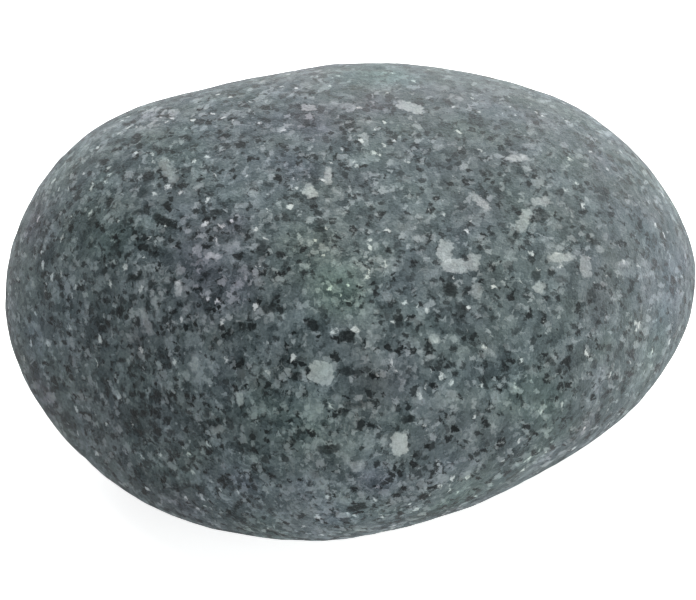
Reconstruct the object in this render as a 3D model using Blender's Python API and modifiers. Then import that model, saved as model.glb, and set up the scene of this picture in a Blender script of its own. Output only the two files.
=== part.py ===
"""River pebble: one solid stone, worn round by water and lying on its flattest side.

The stone starts as an ellipsoid. Worn faces press in on it from named directions, with soft edges
between them. A few broad dents and a low swell are then laid over the whole, and the underside is
levelled where the stone rests.

Metres, +Z up. The origin is under the middle of the stone, on the surface that it rests on, and
+X runs along the stone.
"""

import math
from collections import namedtuple

import bmesh
import bpy
from mathutils import Matrix, Vector

# The ellipsoid that the stone was worn from
HALF_LENGTH = 0.0440  # along X
HALF_WIDTH = 0.0319  # along Y
HALF_THICKNESS = 0.0238  # along Z
EDGE_SHARPNESS = 7  # a higher power leaves crisper edges between the worn faces

# How far the middle of the ellipsoid lies above the resting surface
REST_DEPTH = 0.0198

# A worn face looks out along a heading, in degrees from +X towards +Y, and a climb, in degrees above
# the horizontal. Its distance is from the middle of the ellipsoid.
WornFace = namedtuple("WornFace", "name heading climb distance")
WORN_FACES = (
    WornFace("crown", 10, 84, 0.0226),
    WornFace("back shoulder", 95, 39, 0.0270),
    WornFace("right shoulder", 37, 32, 0.0363),
    WornFace("right flank", -30, 17, 0.0373),
    WornFace("left flank", -138, 12, 0.0294),
    WornFace("left back flank", 163, 29, 0.0388),
    WornFace("front undercut", -62, -42, 0.0301),
    WornFace("back undercut", 130, -31, 0.0293),
    WornFace("underside", 0, -90, 0.0220),
)

# A dent is a shallow hollow with soft sides, placed by heading and climb as a face is
Dent = namedtuple("Dent", "heading climb radius depth")
DENTS = (
    Dent(-95, 38, 0.0085, 0.00045),
    Dent(-28, 52, 0.0075, 0.00040),
    Dent(-150, 46, 0.0070, 0.00040),
    Dent(62, 12, 0.0090, 0.00060),
    Dent(150, 8, 0.0080, 0.00055),
    Dent(-20, -50, 0.0085, 0.00055),
    Dent(-118, -24, 0.0080, 0.00045),
    Dent(75, -48, 0.0085, 0.00050),
)

# The swell: waves that cross the stone in different directions, each shorter and lower than the last
SWELL_WAVES = 7
SWELL_LONGEST = 0.034
SWELL_SHORTEST = 0.013
SWELL_HEIGHT = 0.00012  # of the longest wave
SWELL_START = math.radians(75)  # the heading, and the phase, of the first wave
GOLDEN_ANGLE = math.pi * (3 - math.sqrt(5))

# The cage that the surface is subdivided from
CAGE_CUTS = 11  # across each side of the cube that it starts as
SUBDIVISIONS = 1

STONE_COLOUR = (0.126, 0.153, 0.158, 1)
STONE_ROUGHNESS = 0.85


def clear_scene():
    for obj in list(bpy.data.objects):
        bpy.data.objects.remove(obj)


def looking(heading, climb):
    """The unit vector along a heading and a climb, both in degrees."""
    turn = math.radians(heading)
    rise = math.radians(climb)
    return Vector((math.cos(turn) * math.cos(rise), math.sin(turn) * math.cos(rise), math.sin(rise)))


def reach(direction):
    """How far the worn stone reaches from its middle. The ellipsoid and each worn face are raised to
    the power of the edge sharpness and added, so whichever is nearest decides, and edges stay soft."""
    ellipsoid = Vector(
        (direction.x / HALF_LENGTH, direction.y / HALF_WIDTH, direction.z / HALF_THICKNESS)
    ).length
    crowding = ellipsoid**EDGE_SHARPNESS
    for face in WORN_FACES:
        facing = direction.dot(looking(face.heading, face.climb))
        crowding += (max(facing, 0) / face.distance) ** EDGE_SHARPNESS
    return crowding ** (-1 / EDGE_SHARPNESS)


def dent_depth(place):
    """How deep the dents are at a place on the surface."""
    depth = 0
    for dent in DENTS:
        direction = looking(dent.heading, dent.climb)
        away = (place - direction * reach(direction)).length / dent.radius
        depth += dent.depth * math.exp(-away * away)
    return depth


def swell_height(place):
    """The height of the swell at a place: a sum of waves, whose directions spread over a half sphere."""
    height = 0
    for wave in range(SWELL_WAVES):
        share = wave / (SWELL_WAVES - 1)
        length = SWELL_LONGEST * (SWELL_SHORTEST / SWELL_LONGEST) ** share
        rise = (wave + 0.5) / SWELL_WAVES
        turn = SWELL_START + wave * GOLDEN_ANGLE
        across = math.sqrt(1 - rise * rise)
        direction = Vector((across * math.cos(turn), across * math.sin(turn), rise))
        phase = 2 * math.pi * place.dot(direction) / length + turn
        height += SWELL_HEIGHT * length / SWELL_LONGEST * math.sin(phase)
    return height


def surface_place(direction):
    """The point of the stone's surface that way, levelled where it would pass the resting surface."""
    place = direction * reach(direction)
    place += direction * (swell_height(place) - dent_depth(place))
    place.z = max(place.z + REST_DEPTH, 0)
    return place


def stone_cage():
    """A cube cut into squares, each corner of which moves out to the surface of the stone. A tangent
    first spreads the corners, so that they lie at even angles as seen from the middle."""
    cage = bmesh.new()
    bmesh.ops.create_cube(cage, size=2)
    bmesh.ops.subdivide_edges(cage, edges=cage.edges[:], cuts=CAGE_CUTS, use_grid_fill=True)
    for corner in cage.verts:
        spread = Vector([math.tan(side * math.pi / 4) for side in corner.co])
        corner.co = surface_place(spread.normalized())
    return cage


def stone_material():
    material = bpy.data.materials.new("grey_stone")
    material.use_nodes = True
    shader = material.node_tree.nodes["Principled BSDF"]
    shader.inputs["Base Color"].default_value = STONE_COLOUR
    shader.inputs["Roughness"].default_value = STONE_ROUGHNESS
    shader.inputs["Metallic"].default_value = 0
    return material


def middle_from_above(stone):
    """Where the middle of the finished surface's box lies, seen from above."""
    bpy.context.view_layer.update()
    finished = stone.evaluated_get(bpy.context.evaluated_depsgraph_get())
    places = [vertex.co for vertex in finished.to_mesh().vertices]
    along = [place.x for place in places]
    across = [place.y for place in places]
    finished.to_mesh_clear()
    return Vector(((min(along) + max(along)) / 2, (min(across) + max(across)) / 2, 0))


def build_pebble():
    mesh = bpy.data.meshes.new("pebble")
    cage = stone_cage()
    cage.to_mesh(mesh)
    cage.free()
    mesh.shade_smooth()
    mesh.materials.append(stone_material())
    stone = bpy.data.objects.new("pebble", mesh)
    collection = bpy.data.collections.new("river_pebble")
    bpy.context.scene.collection.children.link(collection)
    collection.objects.link(stone)
    rounding = stone.modifiers.new("Rounding", "SUBSURF")
    rounding.levels = SUBDIVISIONS
    rounding.render_levels = SUBDIVISIONS
    middle = middle_from_above(stone)
    mesh.transform(Matrix.Translation(-middle))


clear_scene()
build_pebble()
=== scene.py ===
import math

import bpy
import numpy as np
from mathutils import Matrix, Vector


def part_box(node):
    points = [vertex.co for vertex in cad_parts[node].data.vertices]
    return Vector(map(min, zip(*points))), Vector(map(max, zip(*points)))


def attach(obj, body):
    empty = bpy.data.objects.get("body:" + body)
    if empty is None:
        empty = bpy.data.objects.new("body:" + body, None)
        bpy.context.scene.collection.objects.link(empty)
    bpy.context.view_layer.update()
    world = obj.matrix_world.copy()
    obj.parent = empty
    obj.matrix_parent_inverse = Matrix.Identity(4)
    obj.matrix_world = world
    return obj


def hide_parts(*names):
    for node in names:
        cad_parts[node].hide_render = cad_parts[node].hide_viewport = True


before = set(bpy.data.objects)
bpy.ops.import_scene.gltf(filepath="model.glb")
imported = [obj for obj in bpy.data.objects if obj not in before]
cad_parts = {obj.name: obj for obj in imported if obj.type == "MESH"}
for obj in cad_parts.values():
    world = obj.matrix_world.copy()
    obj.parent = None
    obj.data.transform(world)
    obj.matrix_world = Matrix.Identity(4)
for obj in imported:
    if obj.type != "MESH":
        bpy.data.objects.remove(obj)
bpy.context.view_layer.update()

# The surface of the pebble, in metres and degrees: the worn ellipsoid that its solid has too, and fine
# relief over it, as much of it inwards as outwards.
pebbleSurface = {
    "halfSizes": (0.0440, 0.0319, 0.0238),
    "edgeSharpness": 7,
    "restDepth": 0.0198,
    # heading from +X towards +Y, climb above the horizontal, distance from the middle
    "wornFaces": {
        "crown": (10, 84, 0.0226),
        "back shoulder": (95, 39, 0.0270),
        "right shoulder": (37, 32, 0.0363),
        "right flank": (-30, 17, 0.0373),
        "left flank": (-138, 12, 0.0294),
        "left back flank": (163, 29, 0.0388),
        "front undercut": (-62, -42, 0.0301),
        "back undercut": (130, -31, 0.0293),
        "underside": (0, -90, 0.0220),
    },
    # heading, climb, radius, depth
    "dents": (
        (-95, 38, 0.0085, 0.00045),
        (-28, 52, 0.0075, 0.00040),
        (-150, 46, 0.0070, 0.00040),
        (62, 12, 0.0090, 0.00060),
        (150, 8, 0.0080, 0.00055),
        (-20, -50, 0.0085, 0.00055),
        (-118, -24, 0.0080, 0.00045),
        (75, -48, 0.0085, 0.00050),
    ),
    "swellWaves": 7,
    "swellLongest": 0.034,
    "swellShortest": 0.013,
    "swellHeight": 0.00012,
    "swellStart": 75,
    "squares": 128,  # across each of the six sides
    "chartMargin": 0.02,  # round each side on its chart, as a share of the chart
    # width is how far apart a roll's highs and lows lie
    "rolls": (
        {"width": 0.0052, "depth": 0.00016, "seed": 3},
        {"width": 0.0024, "depth": 0.00010, "seed": 11},
        {"width": 0.0012, "depth": 0.00007, "seed": 23},
    ),
    "pitSpacing": 0.0023,
    "pitChance": 0.7,  # that a cell of this spacing has a pit
    "pitRadii": (0.0004, 0.0010),
    "pitDepth": 0.00022,  # of the widest pit
    "pitSeed": 41,
}


# A unit vector for a heading and a climb: their cosines and sines, taken from degrees.
def looking(heading, climb):
    turn = math.radians(heading)
    rise = math.radians(climb)
    return np.array((math.cos(turn) * math.cos(rise), math.sin(turn) * math.cos(rise), math.sin(rise)))


# The directions of the corners of a cube cut into even squares, with the four corners of every square
# and their places on the charts. Each side is a grid of two counts, with a chart of its own, three
# across and two down. Corners that two sides share are merged, and a tangent then spreads them so
# that they lie at even angles as seen from the middle.
def cubeGrid(squares, margin):
    count = np.arange(squares + 1)
    first, second = np.meshgrid(count, count, indexing="ij")
    sides = []
    charts = []
    for side in range(6):
        axis = side // 2
        outer = side % 2
        corners = np.empty(first.shape + (3,), int)
        corners[..., axis] = squares * outer
        corners[..., (axis + 1) % 3] = first if outer else second
        corners[..., (axis + 2) % 3] = second if outer else first
        sides.append(corners)
        column = (side % 3 + margin + (1 - 2 * margin) * first / squares) / 3
        row = (side // 3 + margin + (1 - 2 * margin) * second / squares) / 2
        charts.append(np.stack((column, row), axis=-1))
    lattice, owner = np.unique(np.reshape(sides, (-1, 3)), axis=0, return_inverse=True)
    owner = owner.reshape(6, squares + 1, squares + 1)
    charts = np.array(charts)
    ring = ((slice(0, -1), slice(0, -1)), (slice(1, None), slice(0, -1)),
            (slice(1, None), slice(1, None)), (slice(0, -1), slice(1, None)))
    quads = np.stack([owner[:, i, j] for i, j in ring], axis=-1).reshape(-1, 4)
    chartPlaces = np.stack([charts[:, i, j] for i, j in ring], axis=-2).reshape(-1, 2)
    spread = np.tan((lattice / squares * 2 - 1) * math.pi / 4)
    return spread / np.linalg.norm(spread, axis=1, keepdims=True), quads, chartPlaces


# How far the worn stone reaches along each direction: the ellipsoid's nearness and that of each worn
# face are raised to the power of the edge sharpness and added, and the root is turned over.
def wornReach(directions, form):
    power = form["edgeSharpness"]
    crowding = np.linalg.norm(directions / np.array(form["halfSizes"]), axis=-1) ** power
    for heading, climb, distance in form["wornFaces"].values():
        facing = np.maximum(directions @ looking(heading, climb), 0)
        crowding = crowding + (facing / distance) ** power
    return crowding ** (-1 / power)


# How deep the dents are at each place: a bell for each, of its own radius about its own centre.
def dentDepth(places, form):
    depth = np.zeros(len(places))
    for heading, climb, radius, deepest in form["dents"]:
        centre = looking(heading, climb) * wornReach(looking(heading, climb), form)
        away = np.linalg.norm(places - centre, axis=1) / radius
        depth += deepest * np.exp(-away * away)
    return depth


# The height of the swell at each place: sine waves, each shorter and lower than the last, whose
# directions step round by the golden angle as they rise over half a sphere.
def swellHeight(places, form):
    height = np.zeros(len(places))
    goldenAngle = math.pi * (3 - math.sqrt(5))
    for wave in range(form["swellWaves"]):
        share = wave / (form["swellWaves"] - 1)
        length = form["swellLongest"] * (form["swellShortest"] / form["swellLongest"]) ** share
        rise = (wave + 0.5) / form["swellWaves"]
        turn = math.radians(form["swellStart"]) + wave * goldenAngle
        across = math.sqrt(1 - rise * rise)
        direction = np.array((across * math.cos(turn), across * math.sin(turn), rise))
        phase = 2 * math.pi * (places @ direction) / length + turn
        height += form["swellHeight"] * length / form["swellLongest"] * np.sin(phase)
    return height


# The smooth stone: the reach along each direction, with the swell added and the dents taken off,
# levelled where it rests, and then stretched by a hair along each axis to fill the box of the solid.
def smoothStone(directions, form, low, high):
    places = directions * wornReach(directions, form)[:, None]
    places += directions * (swellHeight(places, form) - dentDepth(places, form))[:, None]
    places[:, 2] = np.maximum(places[:, 2] + form["restDepth"], 0)
    lowest = places.min(axis=0)
    share = (places - lowest) / (places.max(axis=0) - lowest)
    return low + share * (high - low)


# A repeatable number from 0 to 1 for each cell, given by three whole numbers: they are multiplied by
# large odd numbers, added to the seed and mixed bit by bit, and the last 16 bits are read as a share.
def cellShare(cells, seed):
    axisFactors = np.array((374761393, 668265263, 2246822519), np.uint32)
    mixFactor = np.uint32(1274126177)
    firstShift, lastShift = np.uint32(13), np.uint32(16)
    lastBits = np.uint32(2**16 - 1)
    counts = cells.astype(np.int64).astype(np.uint32)
    mixed = (counts * axisFactors).sum(axis=-1, dtype=np.uint32) + np.uint32(seed * 97 + 13)
    mixed = (mixed ^ (mixed >> firstShift)) * mixFactor
    mixed = mixed ^ (mixed >> lastShift)
    return (mixed & lastBits) / lastBits


# Smooth random rolls from 0 to 1: the shares of the eight cells round each place, blended by how near
# each lies. The blend is eased at both ends by three squares less two cubes.
def rolls(places, width, seed):
    scaled = places / width
    cells = np.floor(scaled).astype(int)
    part = scaled - cells
    eased = part * part * (3 - 2 * part)
    height = np.zeros(len(places))
    for corner in np.ndindex(2, 2, 2):
        weight = np.where(corner, eased, 1 - eased).prod(axis=1)
        height += weight * cellShare(cells + np.array(corner), seed)
    return height


# How much of a pit each place has, from 0 to 1: every cell may hold a pit, with a random centre and
# radius, and a pit is a bowl that is deepest in its middle and ends at its radius.
def pits(places, form):
    scaled = places / form["pitSpacing"]
    cells = np.floor(scaled).astype(int)
    narrow, wide = form["pitRadii"]
    deepest = np.zeros(len(places))
    for step in np.ndindex(3, 3, 3):
        near = cells + np.array(step) - 1
        seeds = [form["pitSeed"] + draw for draw in range(5)]
        centre = near + np.stack([cellShare(near, seed) for seed in seeds[:3]], axis=1)
        radius = narrow + (wide - narrow) * cellShare(near, seeds[3]) ** 2
        away = np.linalg.norm(scaled - centre, axis=1) * form["pitSpacing"] / radius
        bowl = np.maximum(1 - away * away, 0) * radius / wide
        deepest = np.maximum(deepest, np.where(cellShare(near, seeds[4]) < form["pitChance"], bowl, 0))
    return deepest


low, high = (np.array(corner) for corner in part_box("pebble"))
directions, quads, chartPlaces = cubeGrid(pebbleSurface["squares"], pebbleSurface["chartMargin"])
smooth = smoothStone(directions, pebbleSurface, low, high)
pitShare = pits(smooth, pebbleSurface)
depth = pebbleSurface["pitDepth"] * pitShare
for roll in pebbleSurface["rolls"]:
    depth += roll["depth"] * rolls(smooth, roll["width"], roll["seed"])
places = smooth - directions * (depth - np.median(depth))[:, None]
places[:, 2] -= places[:, 2].min()

mesh = bpy.data.meshes.new("pebbleSurface")
mesh.from_pydata(places, [], quads)
mesh.shade_smooth()
chart = mesh.uv_layers.new(name="OFBake")
chart.data.foreach_set("uv", chartPlaces.astype(np.float32).ravel())
stone = bpy.data.objects.new("pebbleStone", mesh)
bpy.context.collection.objects.link(stone)
print("pebble: surface made,", len(quads) * 2, "triangles")

# What lies on the stone at a place of its own, in metres and degrees. A mark is found by its heading
# and climb, as a worn face is.
stoneMarks = {
    # heading, climb, length, width, turn of the long side from level, and how pale, or how dark below 0
    "crystals": (
        (-101, 27, 0.0026, 0.0023, -5, 0.72),
        (-85, 12.5, 0.0026, 0.0018, 85, 0.90),
        (-57, 47, 0.0026, 0.0016, 40, 0.62),
        (-58, 43, 0.0025, 0.0016, -30, 0.62),
        (-52, 42, 0.0022, 0.0013, 30, 0.56),
        (37.5, 61.5, 0.0030, 0.0018, 25, 0.80),
        (-112, 77, 0.0028, 0.0009, -75, 0.65),
        (-120.5, 70, 0.0014, 0.0013, 50, 0.70),
        (-140, 44, 0.0020, 0.0008, 30, 0.85),
        (-143.5, 34, 0.0018, 0.0009, -55, 0.70),
        (-119.5, 18, 0.0017, 0.0009, -80, 0.75),
        (-177.5, 48, 0.0043, 0.0011, 10, 0.42),
        (111.5, 71, 0.0016, 0.0013, -30, 0.60),
        (-33, 31, 0.0031, 0.0011, -40, 0.62),
        (-30, 26.5, 0.0026, 0.0014, 35, 0.46),
        (-43, 30.5, 0.0015, 0.0012, 15, 0.60),
        (-29.5, 40.5, 0.0035, 0.0011, 5, 0.58),
        (-20.5, 39, 0.0024, 0.0011, -50, 0.58),
        (-30, 49.5, 0.0032, 0.0011, 60, 0.60),
        (-5, 44, 0.0024, 0.0012, -80, 0.65),
        (-57, 36.5, 0.0018, 0.0011, 50, 0.40),
        (-147.5, 23.5, 0.0031, 0.0011, -40, 0.42),
        (-93.5, 8.5, 0.0019, 0.0013, 20, 0.48),
        (-96.5, -5, 0.0017, 0.0012, 5, 0.52),
        (-124, 9, 0.0021, 0.0008, 40, 0.50),
        (-73, 31, 0.0012, 0.0010, -15, 0.50),
        (-132, 21, 0.0020, 0.0011, -85, 0.48),
        (-160.5, 42.5, 0.0029, 0.0010, 20, -1.00),
        (-167.5, 39.5, 0.0014, 0.0008, 50, -0.90),
        (-155.5, 30, 0.0022, 0.0009, 35, -0.95),
        (-104, 36.5, 0.0013, 0.0012, 5, -0.95),
        (-95, 34.5, 0.0018, 0.0012, 0, -1.00),
        (-81, 36, 0.0013, 0.0009, 75, -0.95),
        (-83, 17.5, 0.0014, 0.0009, -10, -0.95),
        (-96.5, 19.5, 0.0013, 0.0009, 5, -0.95),
        (-93.5, 21, 0.0029, 0.0008, 0, -0.70),
        (-107, 25.5, 0.0014, 0.0009, 10, -0.95),
        (-94, 27.5, 0.0027, 0.0009, 0, -0.75),
        (-99, 12, 0.0028, 0.0010, 15, -0.80),
        (-93.5, -2, 0.0023, 0.0012, 25, -0.90),
        (-63.5, 39, 0.0017, 0.0012, 55, -0.80),
        (-64, 34.5, 0.0021, 0.0010, 70, -0.70),
        (-152, 51.5, 0.0013, 0.0010, 45, -0.85),
        (-148.5, 65.5, 0.0012, 0.0009, 50, -0.75),
        (-109.5, 64, 0.0012, 0.0009, 10, -0.80),
        (-107, 59.5, 0.0013, 0.0009, 10, -0.75),
        (-120, 24, 0.0028, 0.0011, -80, -0.60),
        (-116.5, 38.5, 0.0016, 0.0011, 15, -0.75),
        (-41.5, 32, 0.0014, 0.0010, 40, -0.75),
        (-37.5, 28.5, 0.0020, 0.0008, -40, -0.75),
        (-25.5, 38, 0.0023, 0.0012, -30, -0.80),
        (-127, 50, 0.0026, 0.0010, -60, -0.60),
        (85, 12, 0.0027, 0.0018, 30, 0.55),
        (128, 24, 0.0020, 0.0012, 75, 0.65),
        (50, -10, 0.0024, 0.0011, 50, 0.50),
        (-170, -20, 0.0020, 0.0015, 15, 0.55),
        (20, 8, 0.0022, 0.0009, 130, 0.45),
        (105, -25, 0.0016, 0.0012, 110, 0.70),
        (70, 32, 0.0020, 0.0012, 20, -0.90),
        (110, 8, 0.0024, 0.0010, 160, -0.90),
        (30, -20, 0.0018, 0.0014, 60, -0.85),
        (5, 22, 0.0020, 0.0010, 100, -0.80),
        (150, -5, 0.0022, 0.0012, 20, -0.90),
    ),
    # heading, climb, radius, how far towards violet, or green below 0, and towards warm, or cool below 0
    "tints": (
        (-138, 41, 0.0034, 2.0, 0.0),
        (-149, 41, 0.0024, 1.2, 0.0),
        (-143, 52, 0.0022, 2.0, 0.0),
        (-127, 42, 0.0024, 1.4, 0.0),
        (118, 77, 0.0031, 1.7, 0.0),
        (53, 67, 0.0024, 1.6, 0.0),
        (-169, -10, 0.0027, 2.0, 0.0),
        (174, 17, 0.0025, 1.8, 0.0),
        (154, 42, 0.0036, 1.6, 1.0),
        (-133, -17, 0.0022, 1.2, 0.0),
        (-90, 5, 0.0020, 1.6, -2.2),
        (-98, -6, 0.0024, 0.0, -2.4),
        (-117, -2, 0.0022, 1.2, -2.8),
        (-149, 18, 0.0020, 1.2, 0.0),
        (-44, -1, 0.0020, 1.2, 1.0),
        (-30, 19, 0.0024, 1.1, 0.0),
        (11, 37, 0.0028, 0.9, 0.0),
        (-89, 25, 0.0030, 0.9, 1.4),
        (-148, 74, 0.0022, 0.9, -1.6),
        (-98, 44, 0.0028, -2.6, 0.0),
        (-104, 55, 0.0045, -0.3, 2.2),
        (-23, 2, 0.0032, -1.6, -1.0),
        (-13, 9, 0.0060, 0.6, -2.2),
        (-74, -6, 0.0034, -1.8, 0.0),
        (-57, 0, 0.0024, -1.3, 0.0),
        (-55, 12, 0.0055, -1.2, 0.0),
        (-108, 16, 0.0048, -1.3, 0.0),
        (-113, -14, 0.0020, -1.0, 0.0),
        (-166, 32, 0.0029, -1.0, 0.0),
        (60, 49, 0.0032, -2.2, -1.2),
        (76, 53, 0.0030, -1.6, -1.6),
        (-177, 67, 0.0022, 0.0, -1.4),
        (20, 67, 0.0022, 0.0, 1.2),
        (-172, 1, 0.0030, 0.0, -2.2),
        (20, 45, 0.0180, 0.4, 0.8),
        (100, 62, 0.0120, 0.6, 0.4),
        (-35, 22, 0.0120, 0.1, 0.7),
        (-120, 0, 0.0140, -0.4, -0.8),
        (-165, 10, 0.0100, -0.2, -0.9),
        (60, 20, 0.0040, 1.5, -1.0),
        (115, 5, 0.0045, -1.5, 1.0),
        (90, -20, 0.0040, 1.2, 0.0),
        (10, -25, 0.0040, -1.4, -1.2),
        (150, -15, 0.0040, 1.4, 1.0),
    ),
    # heading, climb, radius, strength: above 0 is paler and below 0 is darker
    "clusters": (
        (-131, 19, 0.0021, 0.14),
        (-133, 3, 0.0021, 0.16),
        (-103, -1, 0.0026, 0.18),
        (-109, -3, 0.0018, 0.22),
        (-101, 18, 0.0018, 0.30),
        (-73, 18, 0.0022, 0.20),
        (-76, 5, 0.0018, 0.22),
        (-93, 14, 0.0018, 0.16),
        (-30, -3, 0.0019, 0.30),
        (-55, 26, 0.0018, 0.16),
        (163, 29, 0.0018, 0.24),
        (157, 33, 0.0018, 0.22),
        (-179, 3, 0.0022, 0.20),
        (-44, 36, 0.0018, 0.18),
        (-77, 74, 0.0018, 0.14),
        (-35, 53, 0.0018, 0.16),
        (-58, 12, 0.0018, 0.14),
        (-67, 58, 0.0018, 0.14),
        (-89, 32, 0.0018, 0.16),
        (-127, 41, 0.0018, 0.14),
        (-26, 30, 0.0018, 0.14),
        (-36, 20, 0.0018, -0.14),
        (-158, 15, 0.0024, -0.18),
        (-145, -2, 0.0018, -0.16),
        (-125, 50, 0.0017, -0.18),
        (-176, 15, 0.0018, -0.14),
        (-147, 8, 0.0020, -0.18),
        (-119, 4, 0.0020, -0.18),
        (-73, 25, 0.0018, -0.18),
        (-118, 65, 0.0018, -0.18),
        (-70, -7, 0.0018, -0.16),
        (-89, -9, 0.0018, -0.18),
        (5, 18, 0.0018, -0.20),
        (-110, 25, 0.0018, -0.16),
        (-47, 14, 0.0020, -0.16),
        (169, 55, 0.0018, -0.14),
        (-82, 8, 0.0018, -0.14),
        (-136, 28, 0.0018, -0.14),
        (-141, 5, 0.0085, -0.08),
        (-91, 2, 0.0055, 0.08),
        (-41, 20, 0.0045, -0.04),
        (-7, 27, 0.0055, -0.05),
        (-5, 10, 0.0070, -0.05),
        (-150, -8, 0.0040, -0.08),
        (-105, -14, 0.0035, 0.08),
        (15, 55, 0.0090, -0.03),
        (70, 68, 0.0070, -0.05),
        (70, 30, 0.0030, 0.12),
        (40, 5, 0.0025, -0.12),
        (95, 5, 0.0025, 0.10),
        (120, 20, 0.0020, -0.12),
        (140, -8, 0.0028, 0.12),
        (75, -25, 0.0025, -0.12),
        (15, -10, 0.0022, 0.12),
        (-10, -20, 0.0025, -0.12),
    ),
    # heading, climb, radius, how much stronger the speckle is
    "bolds": (
        (-140, 8, 0.0200, 0.40),
        (-95, -5, 0.0140, 0.20),
        (90, 5, 0.0200, 0.25),
    ),
    # heading, climb, radius, strength of a pale film that softens what lies under it: partly dry dust,
    # partly painted sheen on the top and right rims that face the back lights
    "dustAndSheenFilms": (
        (5, 24, 0.0140, 0.21),
        (-25, 8, 0.0100, 0.17),
        (48, 44, 0.0130, 0.28),
        (88, 46, 0.0120, 0.26),
        (165, 30, 0.0070, 0.15),
        (120, -15, 0.0120, 0.28),
        (-170, -30, 0.0090, 0.25),
    ),
}


# The place on the smooth stone that a heading and a climb point at, and the two directions along the
# surface there, level and uphill.
def surfaceFrame(heading, climb):
    out = looking(heading, climb)
    level = looking(heading + 90, 0)
    return smooth[np.argmax(directions @ out)], level, np.cross(out, level)


# The sum of soft round marks: a bell for each, of its own radius, times the strength in a column.
def bells(marks, column=3):
    total = np.zeros(len(smooth))
    for mark in marks:
        heading, climb, radius = mark[:3]
        away = np.linalg.norm(smooth - surfaceFrame(heading, climb)[0], axis=1) / radius
        total += mark[column] * np.exp(-away * away)
    return total


# A number at each corner of the mesh, for the material to read.
def addField(name, values):
    mesh.attributes.new(name, "FLOAT", "POINT").data.foreach_set("value", values.astype(np.float32))


addField("pitShare", pitShare)
addField("violet", bells(stoneMarks["tints"], 3))
addField("warmth", bells(stoneMarks["tints"], 4))
addField("cluster", bells(stoneMarks["clusters"]))
addField("bold", bells(stoneMarks["bolds"]))
# The film: a pale dust film, and painted sheen where the rims face the back lights.
addField("dustAndSheenFilm", bells(stoneMarks["dustAndSheenFilms"]))
print("pebble: marks placed")

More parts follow.
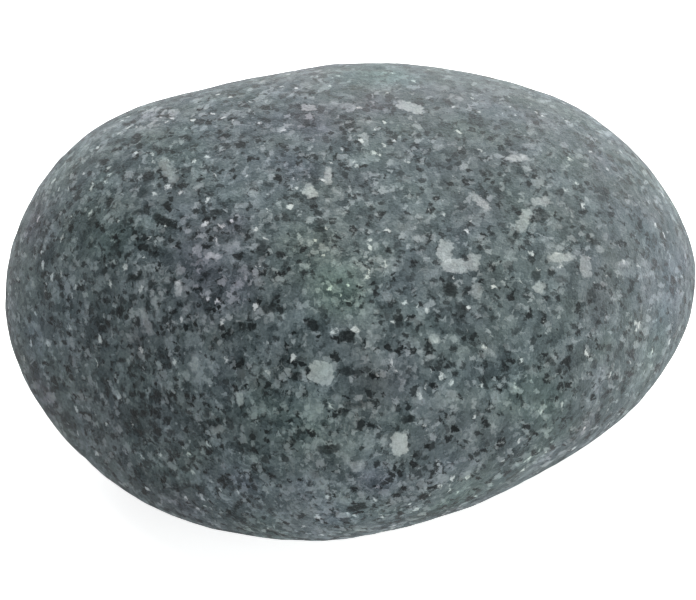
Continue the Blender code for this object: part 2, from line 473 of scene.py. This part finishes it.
# The finish of the stone. Lengths are in millimetres, apart from the depth of the tooth.
stoneLook = {
    # Size is across a grain, Length how many times longer it is than that, Turn the way it lies, and
    # Wander how far its outline strays
    "grains": {
        "fine": {"Size": 0.34, "Length": 1.4, "Turn": (0.4, 0.9, 0.2), "Wander": 0.16},
        "medium": {"Size": 0.80, "Length": 1.5, "Turn": (2.0, 0.6, 1.2), "Wander": 0.32},
        "mottle": {"Size": 1.7, "Length": 1.4, "Turn": (1.1, 0.3, 0.7), "Wander": 0.65},
        "darkAlong": {"Size": 0.95, "Length": 1.9, "Turn": (0.2, 1.4, 0.9), "Wander": 0.36},
        "darkAcross": {"Size": 0.66, "Length": 1.5, "Turn": (1.3, 0.2, 2.1), "Wander": 0.24},
        "paleAlong": {"Size": 0.60, "Length": 3.4, "Turn": (1.0, 0.5, 1.9), "Wander": 0.22},
        "paleAcross": {"Size": 0.95, "Length": 1.6, "Turn": (0.1, 2.3, 0.6), "Wander": 0.36},
        "fleck": {"Size": 0.55, "Length": 1.5, "Turn": (0.7, 1.7, 0.3), "Wander": 0.22},
    },
    # the outline of every grain: the noise that it strays by, for a grain 1 mm across
    "grainOutline": {"Scale": 1.3, "Detail": 3.0, "Roughness": 0.65},
    # the tone of the ground, from 0 to 1: where it starts, and how much each layer adds
    "toneStart": -0.215,
    "fineTone": 0.15,
    "mediumTone": 0.32,
    "mottleTone": 0.34,
    "speckleTone": 0.62,
    "cloudTone": 0.7,
    "toneMiddle": 0.48,  # the speckle of a bold area spreads from here
    "groundTones": (
        (0.00, (0.028, 0.042, 0.046)),
        (0.30, (0.073, 0.100, 0.107)),
        (0.55, (0.124, 0.161, 0.170)),
        (0.80, (0.195, 0.243, 0.252)),
        (1.00, (0.285, 0.340, 0.352)),
    ),
    # noise: Scale is its waves per millimetre
    "speckleNoise": {"Scale": 3.2, "Detail": 3.0, "Roughness": 0.7},
    "cloudNoise": {"Scale": 0.30, "Detail": 3.0, "Roughness": 0.6},
    "cloudStrength": 0.6,
    # rare minerals: the share of a layer's grains that show, how strongly the cloud changes it, how
    # wide a grain's soft rim is, and its strength at the lowest tone or speckle and what more adds
    "rareMinerals": {
        "dark": {"layers": ("darkAlong", "darkAcross"), "share": 0.18, "pull": -1.0, "rim": 0.20,
                 "byTone": (0.50, 0.50), "colour": (0.004, 0.008, 0.009)},
        "pale": {"layers": ("paleAlong", "paleAcross"), "share": 0.135, "pull": 1.0, "rim": 0.20,
                 "byTone": (0.25, 0.6), "bySpeckle": (0.5, 1.0), "colour": (0.345, 0.400, 0.412)},
        "fleck": {"layers": ("fleck",), "share": 0.02, "pull": 0.05, "rim": 0.3,
                  "colour": (0.600, 0.660, 0.660)},
    },
    # the placed crystals: ragged by noise of this reach, and cloudy by the fine grains and the speckle
    "ragNoise": {"Scale": 2.0, "Detail": 5.0},
    "ragReach": 1.1,
    "crystalStart": 0.35,
    "crystalFine": 0.30,
    "crystalSpeckle": 0.9,
    "placedPale": (0.520, 0.580, 0.580),
    "placedDark": (0.010, 0.016, 0.017),
    # dust and painted shade in the pits: from which share of a pit to which it comes in, and how much
    # darker it is
    "pitDustAndShadeEdges": (0.15, 0.9),
    "pitDustAndShadeDarkness": 0.35,
    # the film of dust and painted sheen: its thickness at the lowest speckle, and what more adds
    "dustAndSheenBySpeckle": (0.4, 1.2),
    "dustAndSheenColour": (0.202, 0.236, 0.243),
    # how far one step of a wash moves each of red, green and blue, and how strong its noise is
    "violetPull": (0.022, -0.032, 0.010),
    "violetNoise": {"Scale": 0.16, "Detail": 2.0},
    "violetStrength": 3.5,
    "warmPull": (0.022, 0.005, -0.028),
    "warmNoise": {"Scale": 0.23, "Detail": 3.0},
    "warmStrength": 5.0,
    # the surface: its tooth, in metres, how high grains stand in it, and how much smoother some are
    "toothNoise": {"Scale": 4.0, "Detail": 4.0, "Roughness": 0.6},
    "toothDepth": 0.00016,
    "grainHeight": 0.25,
    "roughness": 0.78,
    "darkSmoothness": 0.18,
    "fleckSmoothness": 0.2,
    "allOver": {
        "Metallic": 0, "IOR": 1.5, "Specular IOR Level": 0.15, "Diffuse Roughness": 0.8,
        "Sheen Weight": 0.10, "Sheen Roughness": 0.45,
    },
}
millimetres = 1000  # in a metre


# A node of the kind asked for. A value that is another node's output is linked; any other is set.
def addNode(tree, kind, values=None, **settings):
    node = tree.nodes.new("ShaderNode" + kind)
    for name, setting in settings.items():
        setattr(node, name, setting)
    giveInputs(tree, node, values or {})
    return node


# The same for a node group.
def addGroup(tree, group, values, label=""):
    return addNode(tree, "Group", values, node_tree=group, label=label)


def giveInputs(tree, node, values):
    for socket, value in values.items():
        if isinstance(value, bpy.types.NodeSocket):
            tree.links.new(value, node.inputs[socket])
        else:
            node.inputs[socket].default_value = value


# One sum on one or more numbers or node outputs.
def maths(tree, operation, *values, clamp=False):
    return addNode(tree, "Math", dict(enumerate(values)), operation=operation, use_clamp=clamp).outputs[0]


# A straight line: the value times a slope, plus where it starts.
def sloped(tree, value, slope, start):
    return maths(tree, "MULTIPLY_ADD", value, slope, start)


# One sum on vectors; scale is for the operation that takes a number.
def vectorMaths(tree, operation, *vectors, scale=None):
    values = dict(enumerate(vectors))
    if scale is not None:
        values["Scale"] = scale
    return addNode(tree, "VectorMath", values, operation=operation).outputs[0]


# A colour that is a share of the way from one towards another, which is given as three numbers.
def blendTowards(tree, share, colour, other):
    values = {0: share, 6: colour, 7: (*other, 1)}
    return addNode(tree, "Mix", values, data_type="RGBA", blend_type="MIX").outputs[2]


# 0 up to one value, 1 from another, and an eased slope between them.
def easedStep(tree, value, start, end):
    values = {"Value": value, "From Min": start, "From Max": end}
    return addNode(tree, "MapRange", values, interpolation_type="SMOOTHSTEP").outputs[0]


# A colour for each value, blended straight from one stop to the next.
def ramp(tree, value, stops):
    node = addNode(tree, "ValToRGB", {0: value})
    elements = node.color_ramp.elements
    for index, (place, colour) in enumerate(stops):
        element = elements[index] if index < 2 else elements.new(place)
        element.position = place
        element.color = (*colour, 1)
    return node.outputs[0]


# A shader node group with named inputs and outputs, given as (name, kind, value).
def newGroup(name, inputs, outputs):
    tree = bpy.data.node_groups.new(name, "ShaderNodeTree")
    for label, kind, value in inputs:
        socket = tree.interface.new_socket(name=label, in_out="INPUT", socket_type="NodeSocket" + kind)
        if value is not None:
            socket.default_value = value
    for label, kind in outputs:
        tree.interface.new_socket(name=label, in_out="OUTPUT", socket_type="NodeSocket" + kind)
    return tree, tree.nodes.new("NodeGroupInput").outputs, tree.nodes.new("NodeGroupOutput").inputs


# Smooth noise, with its values by socket name.
def noise(tree, place, values):
    return addNode(tree, "TexNoise", {"Vector": place, **values}).outputs


# A place that strays by colour noise: the noise less its middle, times a reach, is added to it.
def strayed(tree, place, values, reach):
    middle = (0.5, 0.5, 0.5)
    centred = vectorMaths(tree, "SUBTRACT", noise(tree, place, values)["Color"], middle)
    return vectorMaths(tree, "ADD", place, vectorMaths(tree, "SCALE", centred, scale=reach))


# Interlocked mineral grains: the place strays so that outlines wander, is turned, and is divided by
# the grain's size along and across its length, and each cell of it is one grain. Tone and Pick are
# random for each grain, and Edge is the distance to its edge in grain sizes.
def grainGroup(outline):
    inputs = (("Place", "Vector", None), ("Size", "Float", 0.5), ("Length", "Float", 1.0),
              ("Turn", "Vector", (0, 0, 0)), ("Wander", "Float", 0.1))
    outputs = (("Tone", "Float"), ("Pick", "Float"), ("Edge", "Float"))
    tree, given, result = newGroup("mineralGrains", inputs, outputs)
    waves = maths(tree, "DIVIDE", outline["Scale"], given["Size"])
    reach = maths(tree, "MULTIPLY", given["Wander"], 4)  # since the noise goes about a quarter each way
    wandered = strayed(tree, given["Place"], {**outline, "Scale": waves}, reach)
    turned = addNode(tree, "VectorRotate", {"Vector": wandered, "Rotation": given["Turn"]},
                     rotation_type="EULER_XYZ").outputs[0]
    long = maths(tree, "MULTIPLY", given["Size"], given["Length"])
    sizes = addNode(tree, "CombineXYZ", {0: long, 1: given["Size"], 2: given["Size"]}).outputs[0]
    cellPlace = vectorMaths(tree, "DIVIDE", turned, sizes)
    cell = addNode(tree, "TexVoronoi", {"Vector": cellPlace, "Scale": 1.0})
    random = addNode(tree, "SeparateColor", {0: cell.outputs["Color"]}).outputs
    edge = addNode(tree, "TexVoronoi", {"Vector": cellPlace, "Scale": 1.0}, feature="DISTANCE_TO_EDGE")
    tree.links.new(random[0], result["Tone"])
    tree.links.new(random[1], result["Pick"])
    tree.links.new(edge.outputs["Distance"], result["Edge"])
    return tree


# One crystal at a place of its own. The place is measured from its centre, along it, across it and
# into the stone, in shares of half its size. The sum of their fourth powers is about 1 at its edge, a
# box with round corners, and less within. Total is what came before, and its own Tone where it lies.
# Place is passed on as well, moved by a hair where the crystal lies, so that the crystals are worked
# out one after another: all at once, they would be more than a shader can hold.
def crystalGroup():
    edge = 1.1  # the sum at which the crystal ends
    hair = (0.001, 0.001, 0.001)
    inputs = (("Place", "Vector", None), ("Centre", "Vector", None), ("Lie", "Vector", None),
              ("Halves", "Vector", (1, 1, 1)), ("Crispness", "Float", 1.0), ("Tone", "Float", 1.0),
              ("Before", "Float", 0.0))
    tree, given, result = newGroup("placedCrystal", inputs, (("Total", "Float"), ("Place", "Vector")))
    shares = addNode(tree, "Mapping", {"Vector": given["Place"], "Location": given["Centre"],
                                       "Rotation": given["Lie"], "Scale": given["Halves"]},
                     vector_type="TEXTURE").outputs[0]
    squares = vectorMaths(tree, "MULTIPLY", shares, shares)
    fourthPowers = addNode(tree, "VectorMath", {0: squares, 1: squares}, operation="DOT_PRODUCT").outputs[1]
    within = maths(tree, "SUBTRACT", edge, fourthPowers)
    there = maths(tree, "MULTIPLY", within, given["Crispness"], clamp=True)
    tree.links.new(sloped(tree, there, given["Tone"], given["Before"]), result["Total"])
    tree.links.new(vectorMaths(tree, "MULTIPLY_ADD", there, hair, given["Place"]), result["Place"])
    return tree


# Every placed crystal, each a group node that passes the total so far on to the next. It reaches into
# the stone by a share of its width. The wider it is, the crisper is its edge in shares of its size.
def placedCrystals(tree, place, marks):
    depthShare = 0.8
    group = crystalGroup()
    total = 0.0
    for heading, climb, length, width, turn, paleness in marks:
        centre, level, uphill = surfaceFrame(heading, climb)
        turnShares = looking(turn, 0)
        along = level * turnShares[0] + uphill * turnShares[1]
        across = uphill * turnShares[0] - level * turnShares[1]
        lie = Matrix((along, across, np.cross(along, across))).transposed()
        halves = np.array((length / 2, width / 2, width * depthShare)) * millimetres
        node = addGroup(tree, group, {
            "Place": place, "Centre": centre * millimetres, "Lie": lie.to_euler(), "Halves": halves,
            "Crispness": width * millimetres, "Tone": paleness, "Before": total,
        })
        total, place = node.outputs
    return total


# A field of the mesh, by its name.
def meshField(tree, name):
    return addNode(tree, "Attribute", attribute_name=name).outputs["Fac"]


# Noise about 0, times a strength, plus a field of the mesh.
def fieldWithNoise(tree, place, values, strength, field):
    centred = maths(tree, "SUBTRACT", noise(tree, place, values)[0], 0.5)
    return sloped(tree, centred, strength, meshField(tree, field))


# How strongly each grain of a rare mineral shows: a grain is there where its pick falls under its
# share, which the cloud and a bold area change. It fades out at its edge, and may be stronger the
# higher its tone and the speckle are.
def rareGrains(tree, grain, mineral, cloud, bold, speckle):
    limit = sloped(tree, cloud, mineral["pull"], sloped(tree, bold, mineral["share"], mineral["share"]))
    picked = maths(tree, "LESS_THAN", grain["Pick"], limit)
    there = maths(tree, "MULTIPLY", picked, easedStep(tree, grain["Edge"], 0.0, mineral["rim"]))
    for kind, value in (("byTone", grain["Tone"]), ("bySpeckle", speckle)):
        if kind in mineral:
            lowest, more = mineral[kind]
            there = maths(tree, "MULTIPLY", there, sloped(tree, value, more, lowest), clamp=True)
    return there


# The whole finish. The ground has a colour by its tone, and the rare grains, placed crystals, dust with
# painted shade in the pits, a film of dust and painted sheen, and washes are laid over it one by one. The
# same grains give the bump and the roughness.
def stoneMaterial(look):
    material = bpy.data.materials.new("speckledStone")
    material.use_nodes = True
    tree = material.node_tree
    shader = tree.nodes["Principled BSDF"]
    place = vectorMaths(tree, "SCALE", addNode(tree, "TexCoord").outputs["Object"], scale=millimetres)
    group = grainGroup(look["grainOutline"])

    def grains(name):
        return addGroup(tree, group, {"Place": place, **look["grains"][name]}, name).outputs

    # Where the cloud is high, the ground is paler, pale grains are common and dark ones are rare.
    cloud = fieldWithNoise(tree, place, look["cloudNoise"], look["cloudStrength"], "cluster")
    bold = meshField(tree, "bold")
    fine = grains("fine")
    medium = grains("medium")
    speckle = noise(tree, place, look["speckleNoise"])[0]
    tone = sloped(tree, fine["Tone"], look["fineTone"], look["toneStart"])
    tone = sloped(tree, medium["Tone"], look["mediumTone"], tone)
    tone = sloped(tree, grains("mottle")["Tone"], look["mottleTone"], tone)
    tone = sloped(tree, speckle, look["speckleTone"], tone)
    tone = sloped(tree, cloud, look["cloudTone"], tone)
    tone = sloped(tree, maths(tree, "SUBTRACT", tone, look["toneMiddle"]), bold, tone)
    colour = ramp(tree, tone, look["groundTones"])

    shown = {}
    for mineral in look["rareMinerals"].values():
        for layer in mineral["layers"]:
            shown[layer] = rareGrains(tree, grains(layer), mineral, cloud, bold, speckle)
            colour = blendTowards(tree, shown[layer], colour, mineral["colour"])
    dark = maths(tree, "MAXIMUM", shown["darkAlong"], shown["darkAcross"])

    # The placed crystals have ragged edges, and are cloudy inside.
    raggedPlace = strayed(tree, place, look["ragNoise"], look["ragReach"])
    cloudy = sloped(tree, speckle, look["crystalSpeckle"], look["crystalStart"])
    cloudy = sloped(tree, fine["Tone"], look["crystalFine"], cloudy)
    placed = maths(tree, "MULTIPLY", placedCrystals(tree, raggedPlace, stoneMarks["crystals"]), cloudy)
    placedPale = maths(tree, "MULTIPLY", placed, 1.0, clamp=True)
    placedDark = maths(tree, "MULTIPLY", placed, -1.0, clamp=True)
    colour = blendTowards(tree, placedPale, colour, look["placedPale"])
    colour = blendTowards(tree, placedDark, colour, look["placedDark"])

    # Pits hold a little dark dust, and painted shade darkens them too.
    pitDustAndShade = easedStep(tree, meshField(tree, "pitShare"), *look["pitDustAndShadeEdges"])
    colour = vectorMaths(tree, "SCALE", colour, scale=sloped(tree, pitDustAndShade, -look["pitDustAndShadeDarkness"], 1.0))

    # The film, of dust and painted sheen, is thicker on some grains than on others.
    lowest, more = look["dustAndSheenBySpeckle"]
    thickness = sloped(tree, speckle, more, lowest)
    dustAndSheenFilm = maths(tree, "MULTIPLY", meshField(tree, "dustAndSheenFilm"), thickness, clamp=True)
    colour = blendTowards(tree, dustAndSheenFilm, colour, look["dustAndSheenColour"])

    # Two faint washes: one from green to violet, and one from blue to warm. Each moves the colour by
    # its pull, as a share of what it is.
    violet = fieldWithNoise(tree, place, look["violetNoise"], look["violetStrength"], "violet")
    warmth = fieldWithNoise(tree, place, look["warmNoise"], look["warmStrength"], "warmth")
    wash = vectorMaths(tree, "MULTIPLY_ADD", look["violetPull"], violet, (1, 1, 1))
    wash = vectorMaths(tree, "MULTIPLY_ADD", look["warmPull"], warmth, wash)
    colour = vectorMaths(tree, "MULTIPLY", colour, wash)
    tree.links.new(colour, shader.inputs["Base Color"])

    # All the minerals have a fine tooth, and each grain stands at a height of its own.
    height = maths(tree, "MULTIPLY", medium["Tone"], look["grainHeight"])
    height = maths(tree, "ADD", noise(tree, place, look["toothNoise"])[0], height)
    bump = addNode(tree, "Bump", {"Strength": 1.0, "Distance": look["toothDepth"], "Height": height})
    tree.links.new(bump.outputs[0], shader.inputs["Normal"])

    # Dark minerals and flecks are a little smoother than the rest.
    roughness = sloped(tree, dark, -look["darkSmoothness"], look["roughness"])
    roughness = sloped(tree, shown["fleck"], -look["fleckSmoothness"], roughness)
    tree.links.new(roughness, shader.inputs["Roughness"])
    giveInputs(tree, shader, look["allOver"])
    return material


mesh.materials.append(stoneMaterial(stoneLook))
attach(stone, "root")
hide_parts("pebble")
print("pebble: material made")

# The studio, in metres, degrees and watts.
studio = {
    "floorHalf": 3.0,
    "floorColour": (0.88, 0.88, 0.88),
    "floorRoughness": 0.9,
    "floorGlow": 0.30,
    "seenGlow": 0.50,  # more for the camera alone, so that the shadow stays faint
    "lightAway": 0.8,
    "lightAim": 0.02,  # above the floor
    # heading, climb, size, power
    "softLights": {
        "leftBackLight": (105, 25, 0.6, 5.0),
        "rightBackLight": (45, 25, 0.6, 4.9),
        "topLight": (75, 80, 0.6, 5.7),
        "frontLight": (-45, 25, 0.6, 3.8),
    },
}


# A square sheet, whose glow is brighter to the camera than to the stone.
def studioFloor(look):
    half = look["floorHalf"]
    corners = [(-half, -half, 0), (half, -half, 0), (half, half, 0), (-half, half, 0)]
    sheet = bpy.data.meshes.new("studioFloor")
    sheet.from_pydata(corners, [], [(0, 1, 2, 3)])
    material = bpy.data.materials.new("paleFloor")
    material.use_nodes = True
    tree = material.node_tree
    shader = tree.nodes["Principled BSDF"]
    shader.inputs["Base Color"].default_value = (*look["floorColour"], 1)
    shader.inputs["Roughness"].default_value = look["floorRoughness"]
    shader.inputs["Specular IOR Level"].default_value = 0
    shader.inputs["Emission Color"].default_value = (1, 1, 1, 1)
    path = addNode(tree, "LightPath")
    glow = sloped(tree, path.outputs["Is Camera Ray"], look["seenGlow"], look["floorGlow"])
    tree.links.new(glow, shader.inputs["Emission Strength"])
    sheet.materials.append(material)
    floor = bpy.data.objects.new("studioFloor", sheet)
    bpy.context.collection.objects.link(floor)


# The room is dark but for the soft lights, and is seen as white where the floor ends.
def studioRoom():
    world = bpy.data.worlds.new("studioRoom")
    world.use_nodes = True
    tree = world.node_tree
    room = tree.nodes["Background"]
    room.inputs["Color"].default_value = (1, 1, 1, 1)
    path = addNode(tree, "LightPath")
    tree.links.new(path.outputs["Is Camera Ray"], room.inputs["Strength"])
    bpy.context.scene.world = world


# A square soft light that looks at a point just above the floor, from a heading and a climb.
def softLight(name, look, heading, climb, size, power):
    lamp = bpy.data.lights.new(name, "AREA")
    lamp.shape = "SQUARE"
    lamp.size = size
    lamp.energy = power
    holder = bpy.data.objects.new(name, lamp)
    towards = Vector(looking(heading, climb))
    holder.location = towards * look["lightAway"] + Vector((0, 0, look["lightAim"]))
    holder.rotation_euler = towards.to_track_quat("Z", "Y").to_euler()
    bpy.context.collection.objects.link(holder)


studioFloor(studio)
studioRoom()
for lightName, (lightHeading, lightClimb, lightSize, lightPower) in studio["softLights"].items():
    softLight(lightName, studio, lightHeading, lightClimb, lightSize, lightPower)
bpy.context.scene.view_settings.view_transform = "Standard"
print("studio: floor, room and lights made")

# The camera looks down on the stone from the front, in metres, degrees and, for the lens,
# millimetres. Its aim is shifted from the middle of the stone by so much to the right and up in the
# picture.
cameraView = {
    "turn": -7,
    "climb": 45,
    "lens": 200,
    "away": 0.4206,
    "aimHeight": 0.0196,
    "aimRight": -0.00091,
    "aimUp": -0.00082,
    "nearest": 0.01,  # nothing nearer than this is seen
}


# The camera stands back from its aim along a heading and a climb, and its picture is level.
def studioCamera(view):
    back = Vector(looking(view["turn"] - 90, view["climb"]))
    right = Vector(looking(view["turn"], 0))
    up = back.cross(right)
    lens = bpy.data.cameras.new("camera")
    lens.lens = view["lens"]
    lens.clip_start = view["nearest"]
    camera = bpy.data.objects.new("camera", lens)
    aim = Vector((0, 0, view["aimHeight"])) + right * view["aimRight"] + up * view["aimUp"]
    camera.location = aim + back * view["away"]
    camera.rotation_euler = back.to_track_quat("Z", "Y").to_euler()
    bpy.context.collection.objects.link(camera)
    bpy.context.scene.camera = camera


studioCamera(cameraView)
print("camera: placed")
